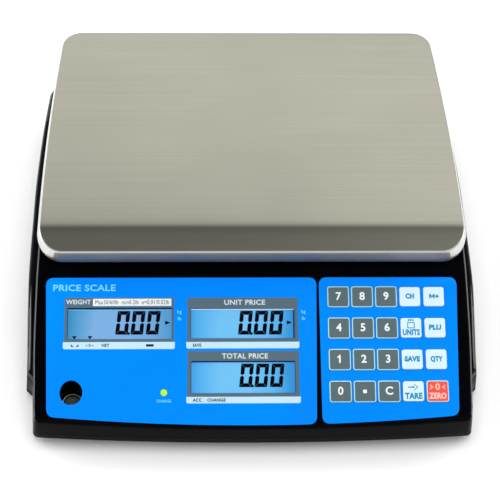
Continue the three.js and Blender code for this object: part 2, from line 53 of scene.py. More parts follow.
REAR_Y = 173.3
COVER_Z0 = 9.2
PLATEAU_Z = 82.0
FRONT_BOW = 5.4
SIDE_DRAFT = 0.125
WALL = 2.6
SKIRT_DROP, SKIRT_TOP_Z = 12, 57
SKIRT_FRONT_Y = -132.5
CORE_FILLET, SKIRT_FILLET = 2.4, 5.0
CORE_FRONT_CORNER, CORE_REAR_CORNER, SKIRT_REAR_CORNER = 5, 22, 24
CORE_HALF_WIDTH = 168
PAD_HOLE_R = 13
THROUGH = -12  # openings in the cover reach this far below its surface

PANEL_TOP, PANEL_BOTTOM = 50.6, -60
PANEL_BOW, PANEL_HALF_SPAN = 7.3, 158
PANEL_CORNER = 6.0
OVERLAY_TOP = 0.3
OVERLAY_SEAT = -0.6
PRINT = 0.04
# left and right side at the bottom and at the top: left, left_top, right, right_top
DISPLAY_PANEL = (-150.9, -153.6, 46.9, 48.6)
KEYPAD_PANEL = (50.9, 50.4, 151.6, 154.0)
# middle u, middle v, width, height
WINDOWS = {
    "lcd_weight": (-98.2, 15.7, 78, 24),
    "lcd_unit_price": (-6.9, 15.7, 77.6, 23),
    "lcd_total_price": (-6.8, -24.6, 77.2, 24.2),
}
LCD_TOP = -0.5
LEVEL_AT, LEVEL_R, LEVEL_WALL = (-133.2, -35.8), 8.4, 1.6
LEVEL_FLOOR, LEVEL_TUBE_TOP = 9.9, 30.5
LAMP_AT, LAMP_R = (-65.2, -35.9), 2.6

PLATTER_Z = 100.0
PLATTER_FRONT_Y, PLATTER_REAR_Y = -62.5, 172.2
PLATTER_CORNER = 18
PLATTER_HALF_WIDTH, PLATTER_NARROWING, PLATTER_BULGE = 160.6, 5, 10.8
CREASE_Y = -45.4
CREASE_BLUR = 5
LIP_SLOPE = tan(radians(28))
# Platter rim from its flat top round the lower edge and back: distance in from the edge, depth.
RIM = [(6.0, 0.0), (5.2, 0.0), (4.7, 0.04), (4.3, 0.15), (3.98, 0.36), (3.72, 0.68), (3.48, 1.1),
       (1.94, 3.8), (0.42, 6.45), (0.2, 7.0), (0.05, 7.6), (0.0, 8.2), (0.0, 10.7), (0.3, 11.0),
       (0.7, 11.0), (1.0, 10.7), (1.0, 8.2), (1.4, 6.7), (4.55, 1.4), (5.3, 1.02), (6.0, 1.0)]
# The flange ends and the bend to the top begins this far in. The shares say how much of the
# distance counts where: the front flange hangs nearly upright, the side flanges lean.
RIM_BEND = 3.48
FRONT_FLANGE_SHARE, FRONT_BEND_SHARE, SIDE_SHARE = 0.1, 0.5, 0.65
FRONT_CORNER_SHARE, REAR_CORNER_SHARE = 0.4, 0.8

KEY_X, KEY_PITCH_X, KEY_PITCH_S = 100.5, 17.9, 23.72
KEY_GAP = 0.3
KEY_SIZE, WHITE_KEY_SIZE = (16.4, 16.1), (15.4, 14.8)
KEYPAD_OPENING = (KEY_X, 0, 94, 93)
KEY_TOP = 0.88
KEYS = [("7", "8", "9", "CH", "M+"), ("4", "5", "6", "UNITS", "PLU"), ("1", "2", "3", "SAVE", "QTY"),
        ("0", ".", "C", "TARE", "ZERO")]
KEY_WORDS = {".": "decimal", "C": "clear", "CH": "change", "M+": "memory_add", "QTY": "quantity"}

RIB_U, RIB_LEAN = 49.5, 0.8
RIB_FRONT, RIB_REAR, RIB_TAPER = -58, 48, 6

CORNERS = ("front_left", "front_right", "rear_left", "rear_right")
REAR_FITTINGS, FLANGE = ("switch_bezel", "power_inlet"), 1.9


def deck_point(u, s, lift=0.0):
    return (
        DECK_X + u,
        DECK_Y + s * cos(DECK_ANGLE) - lift * sin(DECK_ANGLE),
        DECK_Z + s * sin(DECK_ANGLE) + lift * cos(DECK_ANGLE),
    )


def upright_point(x, y, z):
    return (x, y, z)


def rear_point(u, v, lift=0.0):
    """Rear wall: u to the left of someone behind the scale, v up, lift out of the wall."""
    return (-u, REAR_Y + lift, v)


# ---- materials ----


class Nodes:
    """A Principled material with a few short helpers for wiring detail into it."""

    def __init__(self, name, colour, roughness, metallic=0.0, **sockets):
        self.material = bpy.data.materials.new(name)
        self.material.use_nodes = True
        self.tree = self.material.node_tree
        self.shader = self.tree.nodes["Principled BSDF"]
        self.shader.inputs["Base Color"].default_value = (*colour, 1)
        self.shader.inputs["Roughness"].default_value = roughness
        self.shader.inputs["Metallic"].default_value = metallic
        for socket, value in sockets.items():
            self.shader.inputs[socket.replace("_", " ")].default_value = value

    def add(self, kind, **settings):
        node = self.tree.nodes.new(kind)
        for key, value in settings.items():
            if key in node.inputs:
                node.inputs[key].default_value = value
            else:
                setattr(node, key, value)
        return node

    def link(self, source, target):
        self.tree.links.new(source, target)

    def noise(self, scale, stretch=(1, 1, 1), detail=4.0, shift=0.0):
        where = self.add("ShaderNodeTexCoord").outputs["Object"]
        mapping = self.add("ShaderNodeMapping", Scale=stretch, Location=(shift, shift, shift))
        noise = self.add("ShaderNodeTexNoise", Scale=scale, Detail=detail)
        self.link(where, mapping.inputs["Vector"])
        self.link(mapping.outputs["Vector"], noise.inputs["Vector"])
        return noise.outputs["Fac"]

    def ramp(self, source, stops):
        ramp = self.add("ShaderNodeValToRGB")
        fill_ramp(ramp, stops)
        self.link(source, ramp.inputs["Fac"])
        return ramp.outputs["Color"]

    def range(self, source, low, high):
        node = self.add("ShaderNodeMapRange")
        node.inputs["To Min"].default_value = low
        node.inputs["To Max"].default_value = high
        self.link(source, node.inputs["Value"])
        return node.outputs["Result"]

    def scaled_sum(self, first, factor, second):
        """first x factor + second"""
        node = self.add("ShaderNodeMath", operation="MULTIPLY_ADD")
        node.inputs[1].default_value = factor
        self.link(first, node.inputs[0])
        self.link(second, node.inputs[2])
        return node.outputs["Value"]

    def vary_colour(self, source, dark, light):
        self.link(self.ramp(source, [(0.3, dark), (0.7, light)]), self.shader.inputs["Base Color"])

    def vary_roughness(self, source, low, high):
        self.link(self.range(source, low, high), self.shader.inputs["Roughness"])

    def bump(self, source, strength, distance):
        node = self.add("ShaderNodeBump", Strength=strength, Distance=distance)
        self.link(source, node.inputs["Height"])
        self.link(node.outputs["Normal"], self.shader.inputs["Normal"])


def fill_ramp(ramp, stops):
    elements = ramp.color_ramp.elements
    while len(elements) < len(stops):
        elements.new(0.5)
    for element, (place, colour) in zip(elements, stops):
        element.position = place
        element.color = (*colour, 1)


def tint(colour, factor):
    return tuple(min(1.0, c * factor) for c in colour)


def plastic(name, colour, roughness, grain=900.0, bump=0.12, spread=0.06, **sockets):
    """Moulded or printed plastic: fine surface grain, faint cloudiness in colour and gloss."""
    m = Nodes(name, colour, roughness, **sockets)
    m.vary_colour(m.noise(30.0, detail=6.0), tint(colour, 1 - spread), tint(colour, 1 + spread))
    m.vary_roughness(m.noise(60.0, detail=5.0, shift=3.0), roughness * 0.85, min(1.0, roughness * 1.2))
    m.bump(m.noise(grain, detail=2.0, shift=7.0), bump, 0.0002)
    return m.material


def glossy_black(name, colour, roughness, specular):
    return plastic(name, colour, roughness, grain=500.0, bump=0.02, spread=0.1, Specular_IOR_Level=specular)


def printed(name, colour, roughness=0.45):
    return plastic(name, colour, roughness, grain=1500.0, bump=0.05, spread=0.03, Specular_IOR_Level=0.2)


def key_film(name, colour, bump, spread):
    return plastic(name, colour, 0.42, grain=1400.0, bump=bump, spread=spread, Specular_IOR_Level=0.2)


def brushed(name, colour, roughness, stretch, spread, bump=0.08):
    """Metal with fine parallel brush marks under a faint cloudiness: stretch is small along the marks."""
    m = Nodes(name, colour, roughness, 1.0)
    fine = m.noise(1.0, stretch, detail=8.0)
    cloudy = m.noise(14.0, (0.7, 1, 1), detail=4.0, shift=2.0)
    both = m.scaled_sum(fine, 0.5, m.range(cloudy, 0.0, 0.5))
    m.vary_colour(both, tint(colour, 1 - spread), tint(colour, 1 + spread))
    m.vary_roughness(m.noise(1.0, tuple(v * 0.6 for v in stretch), detail=5.0, shift=5.0),
                     roughness * 0.8, roughness * 1.25)
    m.bump(fine, bump, 0.0002)
    return m.material


def platter_metal(name, colour, roughness, spread):
    return brushed(name, colour, roughness, (5, 900, 900), spread, bump=0.02)


def metal(name, colour, roughness, bump=0.15):
    """Cast or plated metal: grainy, without brush marks."""
    m = Nodes(name, colour, roughness, 1.0)
    m.vary_colour(m.noise(120.0, detail=8.0), tint(colour, 0.92), tint(colour, 1.08))
    m.vary_roughness(m.noise(400.0, detail=6.0, shift=2.0), roughness * 0.75, roughness * 1.25)
    m.bump(m.noise(400.0, detail=6.0), bump, 0.0003)
    return m.material


def circuit_board(name):
    """Green solder mask over faint copper tracks."""
    m = Nodes(name, (0.02, 0.16, 0.07), 0.35)
    where = m.add("ShaderNodeTexCoord").outputs["Object"]
    bricks = m.add("ShaderNodeTexBrick", Scale=120.0, Color1=(0.02, 0.16, 0.07, 1),
                   Color2=(0.03, 0.22, 0.1, 1), Mortar=(0.1, 0.38, 0.16, 1))
    m.link(where, bricks.inputs["Vector"])
    m.link(bricks.outputs["Color"], m.shader.inputs["Base Color"])
    m.vary_roughness(m.noise(300.0), 0.25, 0.5)
    m.bump(m.noise(500.0), 0.1, 0.0002)
    return m.material


def lcd_glow(name, side, middle, far, edge):
    """Backlit display glass: the light pools a little left of the middle."""
    m = Nodes(name, middle, 0.25, Specular_IOR_Level=0.2, Emission_Strength=0.17)
    split = m.add("ShaderNodeSeparateXYZ")
    m.link(m.add("ShaderNodeTexCoord").outputs["Generated"], split.inputs["Vector"])
    wobble = m.scaled_sum(m.noise(40.0, detail=2.0), 0.1, split.outputs["X"])
    glow = m.ramp(wobble, [(0.07, side), (0.32, middle), (0.6, middle), (0.85, far), (1.0, edge)])
    m.link(glow, m.shader.inputs["Base Color"])
    m.link(glow, m.shader.inputs["Emission Color"])
    m.bump(m.noise(2500.0, detail=1.0), 0.05, 0.0001)
    return m.material


def clear(name, colour):
    """Transparent plastic with faint smudges."""
    m = Nodes(name, colour, 0.05, Transmission_Weight=0.9, IOR=1.49)
    m.vary_roughness(m.noise(200.0), 0.03, 0.08)
    m.bump(m.noise(400.0, shift=4.0), 0.03, 0.0002)
    return m.material


def lamp_glow(name):
    m = Nodes(name, (0.2, 0.36, 0.01), 0.3, Emission_Color=(0.52, 1.0, 0.01, 1), Emission_Strength=0.6)
    m.vary_colour(m.noise(900.0), (0.17, 0.32, 0.01), (0.24, 0.4, 0.02))
    m.bump(m.noise(1500.0), 0.1, 0.0001)
    return m.material


M = {
    "steel": platter_metal("platter_steel", (0.55, 0.54, 0.445), 0.22, 0.07),
    # lighter and darker copies of the platter steel: painted highlight on the flanges, painted shade on the
    # upright front flange
    "rim": platter_metal("platter_rim", (0.72, 0.72, 0.7), 0.3, 0.03),
    "shaded_front_flange": platter_metal("platter_front_painted_shade", (0.37, 0.32, 0.25), 0.38, 0.03),
    "black": glossy_black("housing_gloss", (0.0008, 0.001, 0.0018), 0.18, 0.04),
    "edge": glossy_black("housing_edge", (0.002, 0.0022, 0.0032), 0.2, 0.5),
    "tray": plastic("tray_black", (0.004, 0.0042, 0.005), 0.5, bump=0.3, Specular_IOR_Level=0.1),
    "blue": plastic("panel_film", (0.0, 0.22, 0.91), 0.42, grain=1200.0, bump=0.05, spread=0.02,
                    Specular_IOR_Level=0.06),
    "frame": printed("print_grey", (0.08, 0.132, 0.165)),
    "strip": printed("print_strip", (0.47, 0.68, 0.81)),
    "label": printed("print_white", (0.74, 0.79, 0.8)),
    "blush": printed("print_blush", (0.86, 0.5, 0.45)),
    "border": printed("print_border", (0.33, 0.66, 0.78)),
    "pale": printed("print_header", (0.58, 0.67, 0.72)),
    "cyan": printed("print_pale", (0.16, 0.62, 0.88)),
    "ink": printed("print_black", (0.015, 0.02, 0.03)),
    "grey_ink": printed("print_dark_grey", (0.09, 0.1, 0.11)),
    "legend": printed("print_key_blue", (0.0, 0.24, 0.46)),
    # painted shade: dark lines along the top and right edges of the display glass stand for the shade the
    # window's recess walls cast
    "recess_shade": printed("painted_recess_shade", (0.01, 0.03, 0.12), 0.3),
    "key_grey": key_film("key_grey", (0.09, 0.132, 0.142), 0.08, 0.04),
    "key_white": key_film("key_white", (0.6, 0.76, 0.85), 0.06, 0.02),
    "key_red": key_film("key_red", (0.8, 0.08, 0.05), 0.06, 0.03),
    "lcd": lcd_glow("lcd_backlight", (0.05, 0.3, 0.62), (0.125, 0.4, 0.67), (0.085, 0.34, 0.62),
                    (0.03, 0.23, 0.52)),
    "lcd_pale": lcd_glow("lcd_backlight_pale", (0.036, 0.22, 0.42), (0.15, 0.32, 0.56), (0.115, 0.295, 0.52),
                         (0.07, 0.25, 0.46)),
    "segment": plastic("lcd_segment", (0.001, 0.0015, 0.004), 0.3, Specular_IOR_Level=0.03),
    "rubber": plastic("rubber", (0.015, 0.015, 0.016), 0.85, grain=700.0, bump=0.5, spread=0.2),
    "cast": metal("cast_frame", (0.3, 0.31, 0.33), 0.5, bump=0.5),
    "alloy": brushed("milled_alloy", (0.66, 0.67, 0.69), 0.32, (900, 60, 900), 0.06),
    "zinc": metal("zinc_screw", (0.62, 0.62, 0.64), 0.25),
    "board": circuit_board("solder_mask"),
    "battery": plastic("battery_case", (0.03, 0.034, 0.04), 0.55),
    "vial": clear("vial_acrylic", (0.45, 0.55, 0.45)),
    "lens": clear("rear_window", (0.35, 0.4, 0.48)),
    "lamp": lamp_glow("charge_lamp"),
    "cup": plastic("level_cup", (0.03, 0.045, 0.04), 0.25, grain=300.0, bump=0.6, spread=0.4),
    "floor": plastic("studio_floor", (0.84, 0.84, 0.84), 0.7, grain=200.0, bump=0.02, spread=0.005),
}

# ---- mesh building ----


def new_object(name, data):
    obj = bpy.data.objects.new(name, data)
    bpy.context.collection.objects.link(obj)
    return obj


def add_bevel(obj, width, angle):
    bevel = obj.modifiers.new("edge", "BEVEL")
    bevel.width = width * MM
    bevel.segments = 2
    bevel.limit_method = "ANGLE"
    bevel.angle_limit = radians(angle)
    return bevel


def soften(obj, width, angle):
    """Smooth faces, crisp edges kept sharp, or bevelled if a width is given."""
    bm = bmesh.new()
    bm.from_mesh(obj.data)
    for face in bm.faces:
        face.smooth = True
    for edge in bm.edges:
        if len(edge.link_faces) == 2 and edge.calc_face_angle(0.0) > radians(angle):
            edge.smooth = width > 0
    bm.to_mesh(obj.data)
    bm.free()
    if width > 0:
        add_bevel(obj, width, angle).harden_normals = True


class Build:
    """Collects closed solids and lettering, in millimetres, into one object."""

    LETTER_SIZE = 1.37  # size of the font per unit of letter height
    LETTER_SPACING = 1.06

    def __init__(self, place=upright_point):
        self.place = place
        self.vertices, self.faces, self.slots, self.materials = [], [], [], []

    def add(self, vertices, faces, material, last_material=None):
        """Adds faces over the vertices given; the last face may have a material of its own."""
        looks = [material] * (len(faces) - 1) + [last_material or material]
        self.materials += [look for look in dict.fromkeys(looks) if look not in self.materials]
        start = len(self.vertices)
        self.vertices += [tuple(c * MM for c in self.place(*v)) for v in vertices]
        self.faces += [[start + i for i in face] for face in faces]
        self.slots += [self.materials.index(look) for look in looks]

    def prism(self, outline, low, high, material, hole=None):
        """Outline of (u, v) points, from low to high; hole is an inner outline of as many points."""
        n = len(outline)
        if hole is None:
            vertices = [(u, v, low) for u, v in outline] + [(u, v, high) for u, v in outline]
            faces = [[(i + 1) % n, i, i + n, (i + 1) % n + n][::-1] for i in range(n)]
            self.add(vertices, [*faces, list(range(n))[::-1], list(range(n, 2 * n))], material)
            return
        vertices = [(u, v, w) for w in (low, high) for ring in (outline, hole) for u, v in ring]
        faces = []
        for i in range(n):
            j = (i + 1) % n
            faces += [[i, j, 2 * n + j, 2 * n + i], [n + j, n + i, 3 * n + i, 3 * n + j],
                      [2 * n + i, 2 * n + j, 3 * n + j, 3 * n + i], [j, i, n + i, n + j]]
        self.add(vertices, faces, material)

    def mark(self, outline, low, material, hole=None):
        """A printed mark that lies on low."""
        self.prism(outline, low, low + PRINT, material, hole)

    def stack(self, rings, material, top_material=None):
        """Loft through (outline, height) rings of equal point count, capped at both ends."""
        n = len(rings[0][0])
        last = (len(rings) - 1) * n
        vertices = [(u, v, w) for outline, w in rings for u, v in outline]
        faces = [[r + i, r + (i + 1) % n, r + n + (i + 1) % n, r + n + i]
                 for r in range(0, last, n) for i in range(n)]
        faces += [list(range(n))[::-1], list(range(last, last + n))]
        self.add(vertices, faces, material, top_material)

    def text(self, words, size, u, v, low, material, align="CENTER", bold=0.0, width=None):
        """Lettering that stands up from low; size is the letter height. width squeezes it to fit."""
        curve = bpy.data.curves.new("lettering", "FONT")
        curve.body = words
        curve.size = size * self.LETTER_SIZE
        curve.align_x = align
        curve.align_y = "CENTER"
        curve.extrude = PRINT / 2
        curve.space_character = self.LETTER_SPACING
        curve.offset = bold * size
        curve.resolution_u = 3
        source = new_object("lettering", curve)
        bpy.context.view_layer.update()
        evaluated = source.evaluated_get(bpy.context.evaluated_depsgraph_get())
        mesh = evaluated.to_mesh()
        points = [vertex.co.copy() for vertex in mesh.vertices]
        faces = [list(face.vertices) for face in mesh.polygons]
        evaluated.to_mesh_clear()
        bpy.data.objects.remove(source)
        squeeze = width / (max(p.x for p in points) - min(p.x for p in points)) if width else 1.0
        self.add([(u + p.x * squeeze, v + p.y, low + p.z + PRINT / 2) for p in points], faces, material)

    def raw(self, name):
        """The collected solids as an object that is no piece yet."""
        mesh = bpy.data.meshes.new(name)
        mesh.from_pydata(self.vertices, [], self.faces)
        for material in self.materials:
            mesh.materials.append(M[material])
        mesh.polygons.foreach_set("material_index", self.slots)
        bm = bmesh.new()
        bm.from_mesh(mesh)
        bmesh.ops.remove_doubles(bm, verts=bm.verts, dist=1e-7)
        bmesh.ops.recalc_face_normals(bm, faces=bm.faces)
        bm.to_mesh(mesh)
        bm.free()
        return new_object(name, mesh)

    def piece(self, name, body, replaces=(), slot=None, angle=35.0):
        finish_piece(self.raw(name), body, replaces, angle=angle)


def finish_piece(obj, body, replaces=(), bevel=0.0, angle=35.0):
    soften(obj, bevel, angle)
    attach(obj, body)
    if replaces:
        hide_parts(*replaces)


def spread(low, high, count):
    return [low + (high - low) * i / (count - 1) for i in range(count)]


def quarter(u, v, r, start, steps):
    """Quarter circle about (u, v), anticlockwise from start in degrees, with both its ends."""
    return [(u + r * cos(radians(a)), v + r * sin(radians(a)))
            for a in spread(start, start + 90, steps + 1)]


def rounded(u0, u1, v0, v1, radius, segments=5, lower=None):
    """Rounded rectangle as a list of points; lower overrides the radius of the bottom corners."""
    low = radius if lower is None else lower
    corners = ((u1 - low, v0 + low, low, -90), (u1 - radius, v1 - radius, radius, 0),
               (u0 + radius, v1 - radius, radius, 90), (u0 + low, v0 + low, low, 180))
    return [point for corner in corners for point in quarter(*corner, segments)]


def rounded_at(place, grow, radius, segments=5):
    """Rounded rectangle from its middle and size (u, v, width, height), each side moved out by grow."""
    u, v, w, h = place
    return rounded(u - w / 2 - grow, u + w / 2 + grow, v - h / 2 - grow, v + h / 2 + grow, radius, segments)


def circle(u, v, r, segments=40):
    return [(u + r * cos(2 * pi * i / segments), v + r * sin(2 * pi * i / segments))
            for i in range(segments)]


def moved(outline, u, v, side=1):
    """The outline shifted by (u, v), after a mirroring left to right if side is -1."""
    return [(u + side * a, v + b) for a, b in outline][::side]


def lathe(build, x, y, profile, material, segments=48):
    """Closed turned solid about an upright axis; the profile of (r, z) starts and ends on the axis."""
    vertices = [(x, y, profile[0][1]), (x, y, profile[-1][1])]
    inner = profile[1:-1]
    for r, z in inner:
        vertices += [(*point, z) for point in circle(x, y, r, segments)]
    last = 2 + (len(inner) - 1) * segments
    faces = []
    for k in range(segments):
        j = (k + 1) % segments
        faces += [[0, 2 + j, 2 + k], [1, last + k, last + j]]
        for a in range(2, last, segments):
            faces.append([a + k, a + j, a + segments + j, a + segments + k])
    build.add(vertices, faces, material)


def boolean(target, operation, *tools):
    """Applies booleans to target and removes the tools."""
    for tool in tools:
        modifier = target.modifiers.new("cut", "BOOLEAN")
        modifier.operation = operation
        modifier.object = tool
        modifier.solver = "MANIFOLD"
    bpy.context.view_layer.update()
    evaluated = target.evaluated_get(bpy.context.evaluated_depsgraph_get())
    mesh = bpy.data.meshes.new_from_object(evaluated)
    target.modifiers.clear()
    target.data = mesh
    for tool in tools:
        bpy.data.objects.remove(tool)


def cutter(name, outline, low, high, place=deck_point):
    build = Build(place)
    build.prism(outline, low, high, "black")
    return build.raw(name)


def box_centre(node):
    """Middle of a CAD node in plan."""
    lo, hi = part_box(node)
    return (lo.x + hi.x) / 2 / MM, (lo.y + hi.y) / 2 / MM


def rear_outline(node, grow, radius, segments):
    """Rounded rectangle round a CAD node on the rear wall."""
    lo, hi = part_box(node)
    u0, u1 = -hi.x / MM - grow, -lo.x / MM + grow
    return rounded(u0, u1, lo.z / MM - grow, hi.z / MM + grow, radius, segments)


# ---- housing ----

# half widths of the console core and of the skirt: y, x
CORE_SIDE = [(-168, 164.2), (-140, 166.4), (-118, 168.3), (-88, 169.8), (-58, 170.8), (0, 170.2),
             (60, 168.2), (120, 164.7), (160, 161.2)]
SKIRT_SIDE = [(-127.5, 171.8), (-110, 172.9), (-85, 174.9), (-60, 176.8), (-30, 177.8), (0, 178.3),
              (30, 178.8), (60, 178.5), (100, 177.3), (150, 174.4)]


def smooth_value(stations, y):
    """Catmull-Rom through (y, value) stations."""
    if y <= stations[0][0]:
        return stations[0][1]
    if y >= stations[-1][0]:
        return stations[-1][1]
    i = next(k for k in range(len(stations) - 1) if stations[k + 1][0] >= y)
    (y1, a), (y2, b) = stations[i], stations[i + 1]
    y0, p = stations[i - 1] if i > 0 else (2 * y1 - y2, 2 * a - b)
    y3, q = stations[i + 2] if i + 2 < len(stations) else (2 * y2 - y1, 2 * b - a)
    t = (y - y1) / (y2 - y1)
    ma = (b - p) / (y2 - y0) * (y2 - y1)
    mb = (q - a) / (y3 - y1) * (y2 - y1)
    return ((2 * t**3 - 3 * t**2 + 1) * a + (t**3 - 2 * t**2 + t) * ma
            + (3 * t**2 - 2 * t**3) * b + (t**3 - t**2) * mb)


def core_outline(inset):
    """Right half of the console core in plan, (x, y) from the front to the back."""
    corner_r, rear_r = (max(0.5, r - inset) for r in (CORE_FRONT_CORNER, CORE_REAR_CORNER))
    width = CORE_SIDE[0][1] - inset
    points = [(x, inset - REAR_Y + FRONT_BOW * (x / width) ** 2) for x in spread(0, width - corner_r, 22)]
    corner_y = points[-1][1] + corner_r
    points += quarter(width - corner_r, corner_y, corner_r, -90, 8)[1:]
    rear = REAR_Y - inset
    points += [(smooth_value(CORE_SIDE, y) - inset, y) for y in spread(corner_y, rear - rear_r, 60)[1:-1]]
    return points + quarter(CORE_SIDE[-1][1] - inset - rear_r, rear - rear_r, rear_r, 0, 12)


def skirt_outline(inset):
    """Right half of the skirt in plan, (x, y) from the front to the back."""
    points = [(x - inset, SKIRT_FRONT_Y + inset) for x in (120, 166.8)]
    rear_r, rear = SKIRT_REAR_CORNER - inset, REAR_Y - 3 - inset
    points += [(smooth_value(SKIRT_SIDE, y) - inset, y)
               for y in spread(SKIRT_SIDE[0][0] + inset / 2, rear - rear_r, 50)[:-1]]
    width = SKIRT_SIDE[-1][1] - 2 - inset
    return points + quarter(width - rear_r, rear - rear_r, rear_r, 0, 12)


def half_loft(name, rings, material):
    """Closed symmetric solid through half rings of (x, y, z), capped with strips from side to side."""
    n = len(rings[0])
    centre = abs(rings[0][0][0]) < 1e-6
    build = Build()
    right = [point for ring in rings for point in ring]
    vertices = right + [(-x, y, z) for x, y, z in right]

    def at(side, r, i):
        return r * n + i + (len(right) if side and not (centre and i == 0) else 0)

    faces = []
    for r in range(len(rings) - 1):
        for i in range(n - 1):
            faces.append([at(0, r, i), at(0, r, i + 1), at(0, r + 1, i + 1), at(0, r + 1, i)])
            faces.append([at(1, r, i), at(1, r + 1, i), at(1, r + 1, i + 1), at(1, r, i + 1)])
        ends = [n - 1] if centre else [0, n - 1]
        faces += [[at(0, r, i), at(1, r, i), at(1, r + 1, i), at(0, r + 1, i)] for i in ends]
    for r in (0, len(rings) - 1):
        for i in range(n - 1):
            strip = [at(1, r, i), at(0, r, i), at(0, r, i + 1), at(1, r, i + 1)]
            faces.append(list(dict.fromkeys(strip)))
    build.add(vertices, faces, material)
    return build.raw(name)


def cover_top(y, drop, top, blur):
    """Height of the sloped deck, drop lower, that runs softly into a flat top."""
    deck = DECK_Z + (y - DECK_Y) * tan(DECK_ANGLE) - drop
    return (deck + top - sqrt((deck - top) ** 2 + blur**2)) / 2


def roofed(outline_of, top_of, z0, fillet, inset):
    """Rings of a body whose wall rises from z0 to a roof and rounds over into it."""
    rings = [[(x, y, z0) for x, y in outline_of(inset)]]
    for a in spread(0, pi / 2, 7):
        step, down = fillet * (1 - cos(a)), fillet * (1 - sin(a))
        rings.append([(x, y, top_of(y) - down) for x, y in outline_of(inset + step)])
    widest = max(x for x, _, _ in rings[0])
    return [[(x * (1 - SIDE_DRAFT * z / widest), y, z) for x, y, z in ring] for ring in rings]


def body_solid(tag, inset, z0):
    """The console core with the wider skirt behind it, every face moved in by inset."""
    drop = inset / cos(DECK_ANGLE)

    def core_top(y):
        return cover_top(y, drop, PLATEAU_Z - inset, 4.0)

    def skirt_top(y):
        return cover_top(y, SKIRT_DROP + drop, SKIRT_TOP_Z - inset, 6.0)

    core = half_loft(f"core_{tag}", roofed(core_outline, core_top, z0, CORE_FILLET, inset), "black")
    skirt = half_loft(f"skirt_{tag}", roofed(skirt_outline, skirt_top, z0, SKIRT_FILLET, inset), "black")
    boolean(core, "UNION", skirt)
    return core


def panel_outline(sides, grow=0.0):
    """Printed panel: straight top, sides slightly splayed, bottom edge following the bowed front."""
    left, left_top, right, right_top = (side + move for side, move in zip(sides, (-grow, -grow, grow, grow)))
    top, r = PANEL_TOP + grow, PANEL_CORNER

    def bottom(u):
        return PANEL_BOTTOM - grow + PANEL_BOW * (u / PANEL_HALF_SPAN) ** 2

    points = [(u, bottom(u)) for u in spread(left + r, right - r, 25)]
    bends = [(points.pop(), (right, bottom(right)), (right, bottom(right) + r)),
             ((right_top, top - r), (right_top, top), (right_top - r, top)),
             ((left_top + r, top), (left_top, top), (left_top, top - r)),
             ((left, bottom(left) + r), (left, bottom(left)), (left + r, bottom(left + r)))]
    for start, corner, end in bends:
        for t in spread(0, 1, 9):
            points.append(tuple((1 - t) ** 2 * a + 2 * t * (1 - t) * b + t**2 * c
                                for a, b, c in zip(start, corner, end)))
    return points[:-1]


def level_circle(r):
    x, y, _ = deck_point(*LEVEL_AT)
    return circle(x, y, r, 48)


def make_cover():
    outer, inner = body_solid("outer", 0.0, COVER_Z0), body_solid("inner", WALL, 0.0)
    boolean(outer, "DIFFERENCE", inner)
    tube = level_circle(LEVEL_R + LEVEL_WALL)
    boolean(outer, "UNION", cutter("tube", tube, LEVEL_FLOOR - 1.5, LEVEL_TUBE_TOP, upright_point))
    tools = [cutter("well", level_circle(LEVEL_R), LEVEL_FLOOR, 90, upright_point),
             cutter("lamp_hole", circle(*LAMP_AT, LAMP_R + 0.1), THROUGH, 3),
             cutter("display_seat", panel_outline(DISPLAY_PANEL, 0.3), OVERLAY_SEAT, 4),
             cutter("keypad_seat", panel_outline(KEYPAD_PANEL, 0.3), OVERLAY_SEAT, 4),
             cutter("keypad_window", rounded_at(KEYPAD_OPENING, 0, 1, 3), THROUGH, 3),
             cutter("lens_seat", rear_outline("rear_lens", 0.3, 1.5, 4), -1.45, 5, rear_point),
             cutter("lens_window", rear_outline("rear_lens", -5.7, 1, 3), THROUGH, 5, rear_point)]
    for name, place in WINDOWS.items():
        tools.append(cutter(f"{name}_hole", rounded_at(place, 0.4, 0.8, 3), THROUGH, 3))
    for node in REAR_FITTINGS:
        tools.append(cutter(f"{node}_seat", rear_outline(node, 0.2, 1, 3), -1.2, 5, rear_point))
        tools.append(cutter(f"{node}_hole", rear_outline(node, -FLANGE, 0.6, 3), THROUGH, 5, rear_point))
    for corner in CORNERS:
        hole = circle(*box_centre(f"platter_pad_{corner}"), PAD_HOLE_R)
        tools.append(cutter(f"pad_hole_{corner}", hole, 60, 95, upright_point))
    boolean(outer, "DIFFERENCE", *tools)
    outer.name = "cover_shell"
    outer.data.materials.append(M["edge"])
    # the console's rounded long edges are glossier than the rest
    for face in outer.data.polygons:
        sideways, upward = abs(face.normal.x), face.normal.z
        if 0.5 < sideways < 0.92 and upward > 0.2 and abs(face.center.x) < CORE_HALF_WIDTH * MM:
            face.material_index = 1
    finish_piece(outer, "housing", ["top_cover"], bevel=0.3, angle=40)


# ---- platter ----


def fall(y):
    """How far the bent lip has dropped at y, with a small bend radius at the crease."""
    d = CREASE_Y - y
    return LIP_SLOPE * (d + sqrt(d * d + CREASE_BLUR)) / 2


def platter_outline(inset):
    """Right half of the platter in plan, (x, y) from the front to the back."""
    front_r = PLATTER_CORNER - inset * FRONT_CORNER_SHARE
    rear_r = PLATTER_CORNER - inset * REAR_CORNER_SHARE
    flange, bend = min(inset, RIM_BEND), max(0.0, inset - RIM_BEND)
    front = PLATTER_FRONT_Y + flange * FRONT_FLANGE_SHARE + bend * FRONT_BEND_SHARE
    rear = PLATTER_REAR_Y - inset

    def half_width(y):
        t = (y - PLATTER_FRONT_Y) / (PLATTER_REAR_Y - PLATTER_FRONT_Y)
        width = PLATTER_HALF_WIDTH - PLATTER_NARROWING * t + PLATTER_BULGE * t * (1 - t)
        return width - inset * SIDE_SHARE

    points = []
    for a in spread(0, pi / 2, 25):
        y = front + front_r * (1 - cos(a))
        points.append((half_width(y) - front_r * (1 - sin(a)), y))
    straight = front + front_r
    for y in [straight + 1.5, straight + 3.5, *spread(straight + 7, rear - rear_r - 4, 26)]:
        points.append((half_width(y), y))
    for a in spread(0, pi / 2, 13):
        y = rear - rear_r * (1 - sin(a))
        points.append((half_width(y) - rear_r * (1 - cos(a)), y))
    return points


